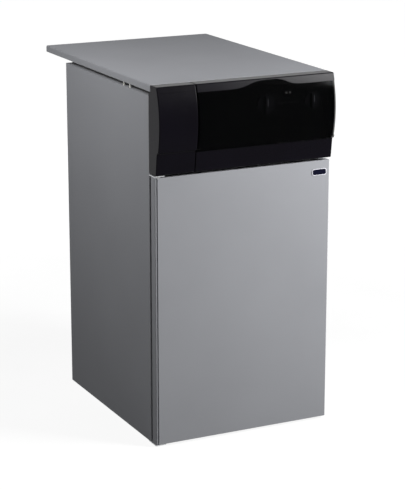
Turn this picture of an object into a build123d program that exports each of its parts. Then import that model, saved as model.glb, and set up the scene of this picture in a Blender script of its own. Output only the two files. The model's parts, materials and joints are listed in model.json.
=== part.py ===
from build123d import *
import os

# Overall sizes in millimetres. X runs to the right, Y to the back, Z up from the floor.
casing_width = 450.0
casing_height = 850.0
lid_reach = 650.0
panel_bulge = 27.0

# Casing sheets
casing_sheet = 1.0
casing_bend = 2.0
fold_gap = 0.3
foot_height = 5.0
side_setback = 30.0
side_depth = 487.0
side_return = 30.0
side_top_return = 20.0
lid_sheet = 1.2
lid_edge = 15.0
lid_gap = 9.5
lid_setback = 22.0
lid_rear_corner = 6.0
lid_front_corner = 2.0
lid_top_round = 2.5
lid_rail_inset = 11.0
lid_rail_width = 16.0
lid_rail_end_gap = 16.0
lid_clip_radius = 2.5
lid_clip_place_share = 0.22
lid_clip_spacing = 34.0

# Base tray with its glides
tray_sheet = 1.5
tray_wall = 40.0
air_slot_length = 90.0
air_slot_width = 8.0
air_slot_column_pitch = 150.0
air_slot_row_pitch = 34.0
air_slot_columns = 2
air_slot_rows = 7
glide_radius = 19.0
glide_inset = 34.0
glide_stud_radius = 4.0
glide_stud_length = 14.0
stud_clearance = 0.1

# Door
door_bottom = 6.5
door_panel_gap = 7.0
door_depth = 20.5
door_sheet = 1.0
door_return = 12.0
door_corner = 2.4
door_top_round = 0.8
door_groove_offset = 3.2
door_groove_width = 3.6
door_groove_depth = 1.8
badge_width = 38.0
badge_height = 15.5
badge_thickness = 1.4
badge_corner = 5.0
badge_rim = 1.2
badge_recess = 0.5
badge_side_offset = 27.8
badge_drop = 26.7

# Door hinge and catch
hinge_inset = 10.0
hinge_setback = 11.0
hinge_pin_radius = 3.0
hinge_pin_length = 14.0
hinge_plate = 2.0
hinge_plate_width = 26.0
hinge_plate_nose = 8.0
hinge_plate_tail = 12.0
hinge_leg_start = 17.0
hinge_leg_height = 40.0
hinge_leg_sheet = 1.3
hinge_top_gap = 2.0
bush_radius = 5.0
bush_flange_radius = 7.0
bush_flange = 1.3
bush_length = 8.0
running_clearance = 0.06
seat_clearance = 0.05
magnet_width = 12.0
magnet_height = 40.0
magnet_gap = 0.3
magnet_end_offset = 80.0

# Control panel shell
panel_height = 201.0
panel_wall = 3.0
panel_edge_round = 3.0
panel_end_round = 2.0
panel_lid_gap = 1.0
module_width = 353.0
module_gap = 1.2
hinge_rise = 54.0
barrel_radius = 6.0
sill_step = 0.6
band_top_share = 0.46
band_foot_share = 0.24
hinge_bulge_share = 0.73
crown_share = 0.42
head_bulge_share = 0.42
crease_depth = 1.0
crease_width = 1.8
crease_drop = 14.0

# Flap
flap_wall = 2.5
flap_head_drop = 18.6
flap_tab_rise = 14.1
flap_gap = 0.5
flap_end_gap = 0.4
flap_return_setback = 8.5
flap_end_round = 3.0
flap_tab_points_shares = (0.25, 0.495, 0.555, 0.74)
flap_pin_radius = 2.0
flap_pin_grip = 5.0
cheek_wall = 3.0
web_setback = 6.5
web_wall = 2.5
tab_recess_clearance = 1.0

# Fascia, knobs and lamps behind the flap
fascia_setback = 5.0
fascia_sheet = 2.5
fascia_rim = 6.0
fascia_clearance = 0.2
left_knob_x = 51.0
right_knob_x = 171.0
knob_drop = 61.0
left_skirt_radius = 23.0
right_skirt_radius = 20.0
skirt_thickness = 4.0
skirt_clearance = 0.5
grip_width = 10.0
grip_height = 9.0
grip_round = 2.0
shaft_radius = 3.0
shaft_in_knob = 8.0
shaft_in_switch = 10.0
switch_bush_radius = 5.0
switch_bush_length = 2.4
switch_width = 32.0
switch_depth = 18.0
lamp_radius = 2.6
lamp_x = 104.5
lamp_pitch = 9.7
lamp_rise = 22.0
dot_radius = 1.3
dot_x = 86.0
dot_pitch = 8.1
dot_count = 7
dot_drop = 1.0
lamp_proud = 0.8

# Control box
box_sheet = 1.2
box_inset = 25.0
box_depth = 80.0
box_foot_gap = 6.0
box_head_gap = 35.0
board_width = 190.0
board_height = 110.0
board_thickness = 1.6
board_gap = 12.0
board_spacer_radius = 4.0
board_spacer_inset = 10.0
relay_size = (20.0, 18.0, 26.0)
relay_pitch = 30.0
relay_count = 3
transformer_size = (46.0, 26.0, 38.0)
terminal_width = 96.0
terminal_depth = 22.0
terminal_height = 20.0
terminal_ways = 8
terminal_slot = 6.0
terminal_slot_depth = 9.0
terminal_x = -110.0
terminal_setback = 12.0

# Cast-iron heat exchanger
section_pitch = 74.0
section_count = 5
section_front = 120.0
section_rear_gap = 44.7
section_foot = 235.0
section_head_room = 210.0
section_corner = 26.0
section_body = 46.0
section_wall = 6.0
rim_width = 16.0
rib_count = 6
rib_width = 7.0
rib_tip_width = 5.0
rib_end_gap = 26.0
rib_side_gap = 14.0
rib_tip_gap = 2.0
hub_radius = 30.0
hub_inset = 44.0
hub_rise = 45.0
nipple_radius = 22.0
nipple_wall = 4.0
nipple_length = 30.0
port_radius = 26.0
port_length = 18.0
rod_radius = 5.0
rod_offset = 8.0
rod_rise = 95.0
rod_lug_width = 30.0
rod_lug_thickness = 14.0
rod_lug_reach = 34.0
rod_nut_radius = 9.0
rod_nut_height = 8.0

# Pipes
pipe_radius = 16.85
pipe_bore = 13.5
pipe_in_port = 14.0
pipe_thread_radius = 16.62
pipe_stub = 40.0
gas_pipe_radius = 13.45
gas_pipe_bore = 10.5
gas_thread_radius = 13.22
thread_length = 30.0
gas_pipe_bend = 28.0
gas_pipe_height = 80.0
gas_pipe_inset = 20.0
pipe_hole_clearance = 2.0

# Insulation
wool_thickness = 18.0
wool_foot = 240.0
wool_front_setback = 65.0

# Combustion base
base_sheet = 2.0
base_half_width = 185.0
base_margin = 8.0
base_flange = 20.0
burner_opening_half_width = 165.0
burner_opening_foot = 60.0
burner_opening_head = 205.0
burner_plate_half_width = 178.0
burner_plate_margin = 8.0
burner_plate_sheet = 1.5

# Burner
bar_count = 4
bar_width = 34.0
bar_top_width = 24.0
bar_foot_width = 16.0
bar_height = 60.0
bar_shoulder = 14.0
bar_height_centre = 158.0
bar_slot_count = 9
bar_slot_length = 18.0
bar_slot_width = 4.0
bar_slot_depth = 3.0
venturi_mouth = 17.0
venturi_throat = 11.0
venturi_length = 20.0
venturi_wall = 2.0
injector_radius = 5.0
injector_length = 14.0
injector_bore = 1.2
injector_gap = 2.0
manifold_radius = 10.0
manifold_overhang = 20.0
manifold_bracket = 3.0
manifold_bracket_height = 18.0
sight_radius = 14.0
sight_glass_radius = 11.0
sight_frame = 4.0
sight_glass_thickness = 3.0
sight_height = 192.0
electrode_radius = 4.0
electrode_tip_radius = 1.5
electrode_length = 44.0
electrode_tip_length = 16.0
electrode_collar_radius = 7.0
electrode_collar = 3.0
electrode_reach = 20.0
electrode_x = 74.0

# Gas valve
valve_x = 40.0
valve_width = 70.0
valve_front = 44.0
valve_depth = 56.0
valve_foot = 52.0
valve_height = 56.0
valve_round = 6.0
coil_radius = 13.0
coil_height = 22.0
coil_pitch = 34.0
riser_offset = 26.0
riser_radius = 8.0
valve_bracket = 2.0
igniter_size = (64.0, 46.0, 44.0)
igniter_x = -150.0
igniter_setback = 18.0

# Drain cock and sensors
cock_radius = 13.0
cock_length = 40.0
cock_rise = 30.0
cock_bore = 6.0
spout_radius = 8.0
spout_length = 34.0
spout_bore = 3.5
stem_radius = 4.0
stem_height = 24.0
stem_in_body = 9.0
lever_length = 52.0
lever_width = 12.0
lever_corner = 5.4
lever_sheet = 3.0
pocket_radius = 9.0
pocket_length = 10.0
sensor_radius = 7.0
sensor_length = 16.0
sensor_drop = 50.0
sensor_pitch = 30.0

# Flue way
collector_half_width = 176.0
collector_sheet = 1.2
collector_height = 78.0
collector_front_height = 22.0
collector_slope_share = 0.3
duct_half_width = 118.0
duct_foot_rise = 14.0
duct_head_rise = 72.0
diverter_half_width = 130.0
diverter_depth = 100.0
diverter_skirt = 80.0
diverter_head_gap = 28.0
diverter_sheet = 1.2
spigot_radius = 70.0
spigot_wall = 1.5
outlet_radius = 66.0
spigot_flange = 10.0
spigot_setback = 2.0
gland_x = 160.0
gland_drop = 150.0
gland_radius = 8.0
gland_nut_radius = 12.0
gland_nut = 5.0
gland_dome = 14.0
gland_bore = 4.0
gland_tail = 5.0

# Screws
screw_head_radius = 4.0
screw_head = 2.2
rear_screw_rows = 4
rear_screw_margin = 60.0
overrun = 2.0

# Places that follow from the sizes
half_width = casing_width / 2
door_face = (panel_bulge - lid_reach) / 2
side_front = door_face + side_setback
side_rear = side_front + side_depth
side_top = casing_height - lid_edge - lid_gap
lid_front = door_face + lid_setback
lid_rear = door_face + lid_reach
lid_bottom = casing_height - lid_edge
inner_half_width = half_width - casing_sheet - fold_gap
return_back = side_front + casing_sheet + fold_gap
rear_panel_rear = side_rear - casing_sheet - fold_gap
rear_panel_front = rear_panel_rear - casing_sheet
tray_top = foot_height + tray_wall
tray_floor = foot_height + tray_sheet
panel_foot = casing_height - panel_height
door_top = panel_foot - door_panel_gap
door_height = door_top - door_bottom
module_left = half_width - module_width
filler_right = module_left - module_gap
hinge_height = panel_foot + hinge_rise
flap_hinge_y = door_face - hinge_bulge_share * panel_bulge + barrel_radius
flap_head = casing_height - flap_head_drop
flap_tab_head = flap_head + flap_tab_rise
knob_height = casing_height - knob_drop
lamp_height = knob_height + lamp_rise
dot_height = knob_height - dot_drop
crease_height = casing_height - crease_drop
flap_sill = hinge_height - barrel_radius
band_top = flap_sill - sill_step
fascia_front = door_face - fascia_setback
fascia_back = fascia_front + fascia_sheet
flap_left = module_left + flap_end_gap
flap_right = half_width - flap_end_gap
cheek_left = flap_left + flap_wall + flap_gap
cheek_right = flap_right - flap_wall - flap_gap
section_y = door_face + section_front
section_back = rear_panel_front - section_rear_gap
section_depth = section_back - section_y
section_head = casing_height - section_head_room
section_height = section_head - section_foot
stack_half = section_pitch * section_count / 2
left_section_x = -section_pitch * (section_count - 1) / 2
hub_y = section_back - hub_inset
low_hub_z = section_foot + hub_rise
high_hub_z = section_head - hub_rise
burner_front = section_y - base_margin
base_rear = section_back + base_margin
plate_front = burner_front - burner_plate_sheet
stub_end = side_rear + pipe_stub
collector_top = section_head + collector_height
duct_foot = section_head + duct_foot_rise
duct_head = section_head + duct_head_rise
diverter_front = rear_panel_rear
diverter_rear = diverter_front + diverter_depth
diverter_foot = section_head - diverter_skirt
diverter_head = casing_height - diverter_head_gap
spigot_height = diverter_head - spigot_radius - spigot_flange
gland_height = casing_height - gland_drop
spigot_end = lid_rear - spigot_setback
gas_pipe_x = inner_half_width - gas_pipe_inset
box_front = return_back
box_back = box_front + box_depth
box_half_width = half_width - box_inset
box_foot = panel_foot + box_foot_gap
box_top = casing_height - box_head_gap
manifold_y = plate_front - venturi_length - injector_gap - injector_length - manifold_radius

to_right = (1, 0, 0)
to_left = (-1, 0, 0)
to_back = (0, 1, 0)
to_front = (0, -1, 0)
upwards = (0, 0, 1)
downwards = (0, 0, -1)


def block(x_limits, y_limits, z_limits):
    """A box between its limits along X, Y and Z."""
    limits = (x_limits, y_limits, z_limits)
    size = [high - low for low, high in limits]
    centre = [(high + low) / 2 for low, high in limits]
    return Pos(*centre) * Box(*size)


def rod(start, along, radius, length):
    """A round bar from a point, along a direction."""
    return extrude(Plane(origin=start, z_dir=along) * Circle(radius), length)


def tube(start, along, radius, bore, length):
    """A round bar with a hole right through."""
    return rod(start, along, radius, length) - rod(start, along, bore, length)


def hexagon(start, along, radius, length):
    """A six-sided bar, as of a nut."""
    return extrude(Plane(origin=start, z_dir=along) * RegularPolygon(radius, 6), length)


def mirrored(part):
    """The same part on the other side of the middle plane."""
    return mirror(part, about=Plane.YZ)


def channel_face(depth, span, sheet, bend):
    """A sheet folded into a U. The web is on local X of zero, and the returns run to -X."""
    outer = Pos(-depth / 2, 0) * Rectangle(depth, span)
    outer = fillet(outer.vertices().group_by(Axis.X)[-1], bend)
    inner = Pos(-depth / 2 - sheet, 0) * Rectangle(depth, span - 2 * sheet)
    inner = fillet(inner.vertices().group_by(Axis.X)[-1], bend - sheet)
    return outer - inner


def save(name, *pieces):
    """Write one node, as one solid or as a group of separate solids."""
    solids = [solid for piece in pieces for solid in piece.solids()]
    whole = solids[0] if len(solids) == 1 else Compound(solids)
    export_step(whole, os.path.join("parts", name + ".step"))


# Screw places on the rear of the casing, used by the panels and the screws
def rear_screw_points():
    """Points on the rear faces of the side returns."""
    low = tray_top + rear_screw_margin
    step = (side_top - rear_screw_margin - low) / (rear_screw_rows - 1)
    x = half_width - side_return / 2
    heights = [low + row * step for row in range(rear_screw_rows)]
    return [(side * x, side_rear, height) for side in (-1, 1) for height in heights]


def box_screw_points():
    """Points on the front faces of the side returns, where the control box is fixed."""
    x = half_width - side_return / 2
    heights = (box_foot + box_inset, box_top - box_inset)
    return [(side * x, side_front, height) for side in (-1, 1) for height in heights]


def screw_head_at(point, outwards):
    """The hexagon head of a sheet-metal screw, seated on a sheet."""
    return hexagon(point, outwards, screw_head_radius, screw_head)


# Casing
def side_panel():
    """The right side: a sheet folded in at the front, rear and top."""
    middle_y = (side_front + side_rear) / 2
    section = Pos(half_width, middle_y) * channel_face(side_return, side_depth, casing_sheet, casing_bend)
    panel = extrude(Plane.XY.offset(foot_height) * section, side_top - foot_height)
    top_x = (half_width - side_top_return, half_width - casing_sheet / 2)
    top_y = (side_front + casing_bend, side_rear - casing_bend)
    return panel + block(top_x, top_y, (side_top - casing_sheet, side_top))


def rear_panel():
    """The flat back, with the flue, pipe and gland holes."""
    low, high = tray_top, side_top - casing_sheet
    panel = block((-inner_half_width, inner_half_width), (rear_panel_front, rear_panel_rear), (low, high))
    duct_x = duct_half_width + collector_sheet
    panel = panel - block((-duct_x, duct_x), (rear_panel_front, rear_panel_rear), (duct_foot, duct_head))
    hole = pipe_radius + pipe_hole_clearance
    for z in (low_hub_z, high_hub_z):
        panel = panel - rod((left_section_x, rear_panel_front, z), to_back, hole, casing_sheet)
    panel = panel - gas_pipe_hole()
    gland_hole = gland_radius + seat_clearance
    return panel - rod((gland_x, rear_panel_front, gland_height), to_back, gland_hole, casing_sheet)


def base_frame():
    """A tray with air slots and holes for the glide studs."""
    outer_x = (-inner_half_width, inner_half_width)
    outer_y = (return_back, rear_panel_rear)
    inner_x = (outer_x[0] + tray_sheet, outer_x[1] - tray_sheet)
    inner_y = (outer_y[0] + tray_sheet, outer_y[1] - tray_sheet)
    tray = block(outer_x, outer_y, (foot_height, tray_top))
    tray = tray - block(inner_x, inner_y, (tray_floor, tray_top + overrun))
    middle_y = (burner_front + base_rear) / 2
    slot = Box(air_slot_length, air_slot_width, tray_sheet + overrun)
    grid = GridLocations(air_slot_column_pitch, air_slot_row_pitch, air_slot_columns, air_slot_rows)
    slots = Pos(0, middle_y, foot_height + tray_sheet / 2) * grid * slot
    tray = tray - slots
    for x, y in glide_points():
        tray = tray - rod((x, y, foot_height), upwards, glide_stud_radius + stud_clearance, tray_sheet)
    return tray


def glide_points():
    """The four corners where the boiler stands."""
    x = half_width - glide_inset
    return [(side * x, y) for side in (-1, 1) for y in (side_front + glide_inset, side_rear - glide_inset)]


def glide(x, y):
    """A round pad with its stud."""
    pad = rod((x, y, 0), upwards, glide_radius, foot_height)
    return pad + rod((x, y, foot_height), upwards, glide_stud_radius, glide_stud_length)


def lid():
    """The flat top: a pan that is open below, with softened edges."""
    outer = block((-half_width, half_width), (lid_front, lid_rear), (lid_bottom, casing_height))
    uprights = outer.edges().filter_by(Axis.Z).group_by(Axis.Y)
    outer = fillet(uprights[-1], lid_rear_corner)
    outer = fillet(outer.edges().filter_by(Axis.Z).group_by(Axis.Y)[0], lid_front_corner)
    outer = fillet(outer.faces().sort_by(Axis.Z)[-1].edges(), lid_top_round)
    return offset(outer, -lid_sheet, openings=outer.faces().sort_by(Axis.Z)[0])


def lid_rail():
    """A black rail on the right side panel, set in from its face, that carries the lid."""
    height = casing_height - lid_sheet - side_top
    section = channel_face(lid_rail_width, height, casing_sheet, casing_bend)
    rail_x = half_width - lid_rail_inset
    start = side_front + lid_rail_end_gap
    length = side_depth - 2 * lid_rail_end_gap
    plane = Plane(origin=(rail_x, start, side_top + height / 2), x_dir=to_right, z_dir=to_front)
    return extrude(plane * section, -length)


def lid_clips():
    """Small studs on both side panels, on which the lid's edge is clipped."""
    y = side_front + side_depth * lid_clip_place_share
    x = half_width - lid_sheet - seat_clearance - lid_clip_radius
    height = lid_gap + lid_edge / 2
    return [
        rod((side * x, y + step * lid_clip_spacing, side_top), upwards, lid_clip_radius, height)
        for side in (-1, 1)
        for step in (0, 1)
    ]


def cross_rail():
    """A channel behind the top of the door that ties the two sides."""
    section = channel_face(side_return, panel_foot - door_top + side_return, casing_sheet, casing_bend)
    height = (panel_foot + door_top - side_return) / 2
    plane = Plane(origin=(-inner_half_width, return_back, height), x_dir=to_front, z_dir=to_right)
    return extrude(plane * section, 2 * inner_half_width)


def gas_pipe_hole():
    """The cutter that lets the gas pipe through the back."""
    start = (gas_pipe_x, rear_panel_front - overrun, gas_pipe_height)
    depth = side_rear - rear_panel_front + 2 * overrun
    return rod(start, to_back, gas_pipe_radius + pipe_hole_clearance, depth)


# Door
def door_plan(edge, inset):
    """Plan of the door with its hinge-side bead, drawn a given distance inside the skin."""
    half = edge - inset
    front = door_face + inset
    depth = door_depth - 2 * inset
    plan = Pos(0, front + depth / 2) * Rectangle(2 * half, depth)
    if inset == 0:
        plan = fillet(plan.vertices().group_by(Axis.Y)[0], door_corner)
    groove_x = edge - door_groove_offset - door_groove_width / 2
    width = door_groove_width + 2 * inset
    deep = door_groove_depth
    return plan - Pos(-groove_x, front + deep / 2) * Rectangle(width, deep)


def front_door():
    """A folded pan with a bead and a groove along its hinged edge."""
    outer = extrude(Plane.XY.offset(door_bottom) * door_plan(half_width, 0), door_height)
    top_edges = outer.faces().sort_by(Axis.Z)[-1].edges().filter_by(Axis.X)
    outer = fillet(top_edges.group_by(Axis.Y)[0], door_top_round)
    floor = Plane.XY.offset(door_bottom + door_sheet)
    inner = extrude(floor * door_plan(half_width, door_sheet), door_height - 2 * door_sheet)
    window_half = half_width - door_return
    window_z = (door_bottom + door_return, door_top - door_return)
    rear = door_face + door_depth
    window = block((-window_half, window_half), (rear - door_sheet - overrun, rear + overrun), window_z)
    hole_x = -half_width + hinge_inset
    hole_y = door_face + hinge_setback
    bush_hole = rod((hole_x, hole_y, door_bottom), upwards, bush_radius + seat_clearance, door_height)
    middle = block((-half_width, 0), (door_face, rear), (door_bottom + door_sheet, door_top - door_sheet))
    return outer - inner - window - (bush_hole - middle)


def door_badge():
    """A bare rounded plate with a raised rim."""
    x = half_width - badge_side_offset
    z = door_top - badge_drop
    plane = Plane(origin=(x, door_face, z), x_dir=to_right, z_dir=to_front)
    plate = extrude(plane * RectangleRounded(badge_width, badge_height, badge_corner), badge_thickness)
    field_size = (badge_width - 2 * badge_rim, badge_height - 2 * badge_rim)
    field = RectangleRounded(*field_size, badge_corner - badge_rim)
    field_plane = plane.offset(badge_thickness - badge_recess)
    return plate - extrude(field_plane * field, badge_recess + overrun)


def hinge_point(height):
    """A point on the door's hinge line."""
    return (-half_width + hinge_inset, door_face + hinge_setback, height)


def door_bushes():
    """Nylon bushes in the door's top and bottom flanges."""
    bore = hinge_pin_radius + running_clearance
    low = tube(hinge_point(door_bottom), upwards, bush_radius, bore, bush_length)
    low = low + tube(hinge_point(door_bottom), downwards, bush_flange_radius, bore, bush_flange)
    high = tube(hinge_point(door_top), downwards, bush_radius, bore, bush_length)
    high = high + tube(hinge_point(door_top), upwards, bush_flange_radius, bore, bush_flange)
    return [low, high]


def hinge_brackets():
    """The lower plate under the tray and the upper angle, each with its pin."""
    low_x = (-half_width, -half_width + hinge_plate_width)
    low_y = (door_face + hinge_setback - hinge_plate_nose, return_back + hinge_plate_tail)
    low = block(low_x, low_y, (foot_height - hinge_plate, foot_height))
    low = low + rod(hinge_point(foot_height), upwards, hinge_pin_radius, hinge_pin_length)
    plate_z = door_top + hinge_top_gap
    high_y = (low_y[0], side_front)
    high = block(low_x, high_y, (plate_z, plate_z + hinge_plate))
    leg_x = (-half_width + hinge_leg_start, low_x[1])
    leg_z = (plate_z + hinge_plate - hinge_leg_height, plate_z + hinge_plate)
    high = high + block(leg_x, (side_front - hinge_leg_sheet, side_front), leg_z)
    high = high + rod(hinge_point(plate_z), downwards, hinge_pin_radius, hinge_pin_length)
    return [low, high]


def door_magnets():
    """Two catches on the right side panel's front return."""
    x = (half_width - door_return - magnet_width / 2, half_width - door_return + magnet_width / 2)
    y = (door_face + door_depth + magnet_gap, side_front)
    heights = (door_bottom + magnet_end_offset, door_top - magnet_end_offset)
    return [block(x, y, (z - magnet_height / 2, z + magnet_height / 2)) for z in heights]


# Control panel
def panel_block(x_limits, inset, back):
    """The control panel's bulged form between two X limits, set in by a wall."""
    crown = (door_face - panel_bulge + inset, hinge_height + crown_share * (casing_height - hinge_height))
    hinge_front = (door_face - hinge_bulge_share * panel_bulge + inset, hinge_height)
    head = (door_face - head_bulge_share * panel_bulge + inset, casing_height)
    lower = TangentArc(crown, hinge_front, tangent=(0, -1))
    upper = TangentArc(crown, head, tangent=(0, 1))
    sill_y = flap_hinge_y + inset
    sill = RadiusArc(hinge_front, (sill_y, flap_sill), barrel_radius)
    band_y = door_face - band_top_share * panel_bulge + inset
    foot_y = door_face - band_foot_share * panel_bulge + inset
    foot_z = panel_foot + inset
    deep = side_front + overrun
    rest = Polyline(
        (sill_y, flap_sill),
        (band_y, flap_sill),
        (foot_y, foot_z),
        (deep, foot_z),
        (deep, casing_height),
        head,
    )
    section = make_face(upper + lower + sill + rest)
    top = casing_height - inset
    far_front = door_face - 2 * panel_bulge
    middle = Pos((far_front + back) / 2, (top + foot_z) / 2)
    section = section & (middle * Rectangle(back - far_front, top - foot_z))
    return extrude(Plane.YZ.offset(x_limits[0]) * section, x_limits[1] - x_limits[0])


def panel_shell(x_limits):
    """A hollow stretch of the panel, open at the back, with soft outer edges."""
    outer = panel_block(x_limits, 0, side_front)
    long_edges = outer.edges().filter_by(Axis.X)
    front_top = long_edges.group_by(Axis.Z)[-1].sort_by(Axis.Y)[0]
    front_foot = long_edges.group_by(Axis.Z)[0].sort_by(Axis.Y)[0]
    outer = fillet([front_top, front_foot], panel_edge_round)
    end_faces = outer.faces().filter_by(Axis.X)
    end_edges = [edge for face in end_faces for edge in face.edges().sort_by(Axis.Y)[:-1]]
    outer = fillet(end_edges, panel_end_round)
    inner_x = (x_limits[0] + panel_wall, x_limits[1] - panel_wall)
    inner = panel_block(inner_x, panel_wall, side_front + overrun)
    lid_room_y = (lid_front - panel_lid_gap, side_front + overrun)
    lid_room_z = (lid_bottom - panel_lid_gap, casing_height + overrun)
    lid_room = block((x_limits[0] - overrun, x_limits[1] + overrun), lid_room_y, lid_room_z)
    return outer - inner - lid_room


def tab_outline(grow):
    """Front view of the flap's top edge with its wavy finger tab, grown by a clearance."""
    shares = flap_tab_points_shares
    width = flap_right - flap_left
    low_left, high_left, high_right, low_right = [flap_left + share * width for share in shares]
    foot = flap_head + grow
    head = flap_tab_head + grow
    left_middle = (low_left + high_left) / 2
    right_middle = (high_right + low_right) / 2
    rising = Bezier((low_left, foot), (left_middle, foot), (left_middle, head), (high_left, head))
    top = Line((high_left, head), (high_right, head))
    falling = Bezier((high_right, head), (right_middle, head), (right_middle, foot), (low_right, foot))
    base = Polyline((low_right, foot), (low_right, hinge_height), (low_left, hinge_height), (low_left, foot))
    return make_face(rising + top + falling + base)


def front_prism(face):
    """A front-view outline pushed right through the panel from front to back."""
    plane = Plane(origin=(0, door_face, 0), x_dir=to_right, z_dir=to_front)
    return extrude(plane * face, 2 * panel_bulge, both=True)


def control_housing():
    """The module's shell with the pocket behind the flap, its cheeks and the tab's recess."""
    shell = panel_shell((module_left, half_width))
    head = flap_head + flap_gap
    far_front = door_face - 2 * panel_bulge
    web_y = door_face - web_setback
    shell = shell - block((module_left, half_width), (far_front, web_y), (band_top, head))
    tab_room = panel_block((flap_left, flap_right), 0, web_y)
    tab_room = tab_room & front_prism(tab_outline(tab_recess_clearance))
    tab_floor = panel_block((flap_left, flap_right), flap_wall + flap_gap, web_y + overrun)
    skin = panel_block((module_left + panel_wall, half_width - panel_wall), flap_wall + flap_gap, web_y)
    recess_back = skin & front_prism(tab_outline(tab_recess_clearance + panel_wall))
    recess_hollow = panel_block((flap_left, flap_right), flap_wall + flap_gap + panel_wall, web_y + overrun)
    above = block((module_left, half_width), (far_front, web_y), (head, casing_height))
    shell = shell + ((recess_back - recess_hollow) & above)
    shell = shell - ((tab_room - tab_floor) & above)
    rim_back = fascia_back + panel_wall
    pocket_x = (cheek_left, cheek_right)
    rim_z = (band_top - panel_wall, head + panel_wall)
    pocket = panel_block(pocket_x, flap_wall + flap_gap, rim_back) & block(
        pocket_x, (far_front, rim_back), rim_z
    )
    room_x = (pocket_x[0] + cheek_wall, pocket_x[1] - cheek_wall)
    pocket = pocket - block(room_x, (far_front, fascia_back), (band_top, head))
    window_x = (room_x[0] + fascia_rim, room_x[1] - fascia_rim)
    window_z = (band_top + fascia_rim, head - fascia_rim)
    pocket = pocket - block(window_x, (fascia_back - overrun, rim_back + overrun), window_z)
    shell = shell + pocket
    for ends in ((module_left, cheek_left + cheek_wall), (cheek_right - cheek_wall, half_width)):
        shell = shell + block(ends, (web_y, web_y + web_wall), (band_top, head))
    hole_radius = flap_pin_radius + seat_clearance / 2
    pin_line = rod((module_left, flap_hinge_y, hinge_height), to_right, hole_radius, module_width)
    inside = block((room_x[0], room_x[1]), (far_front, web_y), (band_top, head))
    shell = shell - (pin_line - inside)
    for start_x in (cheek_left, cheek_right - cheek_wall):
        centre = (start_x, flap_hinge_y, hinge_height)
        sweep_room = rod(centre, to_right, barrel_radius + flap_gap, cheek_wall)
        lobe = rod(centre, to_right, barrel_radius - flap_wall - flap_gap, cheek_wall)
        cheek_x = (start_x, start_x + cheek_wall)
        below = block(cheek_x, (far_front, web_y), (band_top, hinge_height + 2 * flap_gap))
        shell = shell - ((sweep_room - lobe) & below)
    return shell


def filler_panel():
    """The plain stretch at the left, with a shallow crease near its top."""
    limits = (-half_width, filler_right)
    shell = panel_shell(limits)
    skin = panel_block(limits, 0, side_front) - panel_block(limits, crease_depth, side_front + overrun)
    crease_z = (crease_height - crease_width / 2, crease_height + crease_width / 2)
    crease = skin & block(limits, (door_face - 2 * panel_bulge, door_face), crease_z)
    return shell - crease


def flap():
    """The smoked flap: a bulged sheet with ends, a rounded lower edge and a finger tab."""
    limits = (flap_left, flap_right)
    back = door_face - flap_return_setback
    outer = panel_block(limits, 0, back)
    end_edges = [
        edge
        for face in outer.faces().filter_by(Axis.X)
        for edge in face.edges().sort_by(SortBy.LENGTH)[-2:]
        if edge.geom_type == GeomType.CIRCLE
    ]
    outer = fillet(end_edges, flap_end_round)
    outline = front_prism(flap_face())
    inner_x = (limits[0] + flap_wall, limits[1] - flap_wall)
    sheet = (outer & outline) - panel_block(inner_x, flap_wall, back + overrun)
    ring = Circle(barrel_radius) - Circle(barrel_radius - flap_wall)
    quarter = Pos(-barrel_radius / 2, -barrel_radius / 2) * Rectangle(barrel_radius, barrel_radius)
    plane = Plane(origin=(limits[0], flap_hinge_y, hinge_height), x_dir=to_back, z_dir=to_right)
    sheet = sheet + extrude(plane * (ring & quarter), limits[1] - limits[0])
    pin_hole = flap_pin_radius + running_clearance
    for start in (limits[0], limits[1] - flap_wall):
        centre = (start, flap_hinge_y, hinge_height)
        sheet = sheet + rod(centre, to_right, barrel_radius - flap_gap / 2, flap_wall)
    for start in (limits[0], limits[1] - flap_wall):
        centre = (start, flap_hinge_y, hinge_height)
        sheet = sheet - rod(centre, to_right, pin_hole, flap_wall)
    return sheet


def flap_face():
    """Front view of the whole flap."""
    width = flap_right - flap_left
    middle = (flap_left + flap_right) / 2
    height = flap_head - hinge_height
    return Pos(middle, hinge_height + height / 2) * Rectangle(width, height) + tab_outline(0)


def flap_pins():
    """Two steel pins in the cheeks that carry the flap."""
    length = flap_pin_grip + flap_wall
    left = rod((flap_left, flap_hinge_y, hinge_height), to_right, flap_pin_radius, length)
    right = rod((flap_right, flap_hinge_y, hinge_height), to_left, flap_pin_radius, length)
    return [left, right]


def lamp_points():
    """Places and radii of the two indicator lenses on the fascia."""
    return [(lamp_x + step * lamp_pitch, lamp_height, lamp_radius) for step in (0, 1)]


def dot_points():
    """Places and radii of the row of small markers under them."""
    return [(dot_x + step * dot_pitch, dot_height, dot_radius) for step in range(dot_count)]


def fascia():
    """The flat plate behind the flap, with holes for the two controls."""
    x = (cheek_left + cheek_wall + fascia_clearance, cheek_right - cheek_wall - fascia_clearance)
    z = (band_top + fascia_clearance, flap_head + flap_gap - fascia_clearance)
    plate = block(x, (fascia_front, fascia_back), z)
    for knob_x in (left_knob_x, right_knob_x):
        hole = switch_bush_radius + seat_clearance
        plate = plate - rod((knob_x, fascia_front, knob_height), to_back, hole, fascia_sheet)
    return plate


def lenses():
    """The indicator lenses and the small markers, seated on the fascia's face."""
    lamps = [rod((x, fascia_front, z), to_front, radius, lamp_proud) for x, z, radius in lamp_points()]
    dots = [hexagon((x, fascia_front, z), to_front, radius, lamp_proud) for x, z, radius in dot_points()]
    return lamps + dots


def rotary_switch(x):
    """A rotary control behind the fascia, with its bush through the plate."""
    half = switch_width / 2
    z = (knob_height - half, knob_height + half)
    body = block((x - half, x + half), (fascia_back, fascia_back + switch_depth), z)
    bush = rod((x, fascia_back, knob_height), to_front, switch_bush_radius, switch_bush_length)
    bore_start = (x, fascia_back - switch_bush_length, knob_height)
    bore = rod(bore_start, to_back, shaft_radius + running_clearance, switch_bush_length + shaft_in_switch)
    return body + bush - bore


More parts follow.
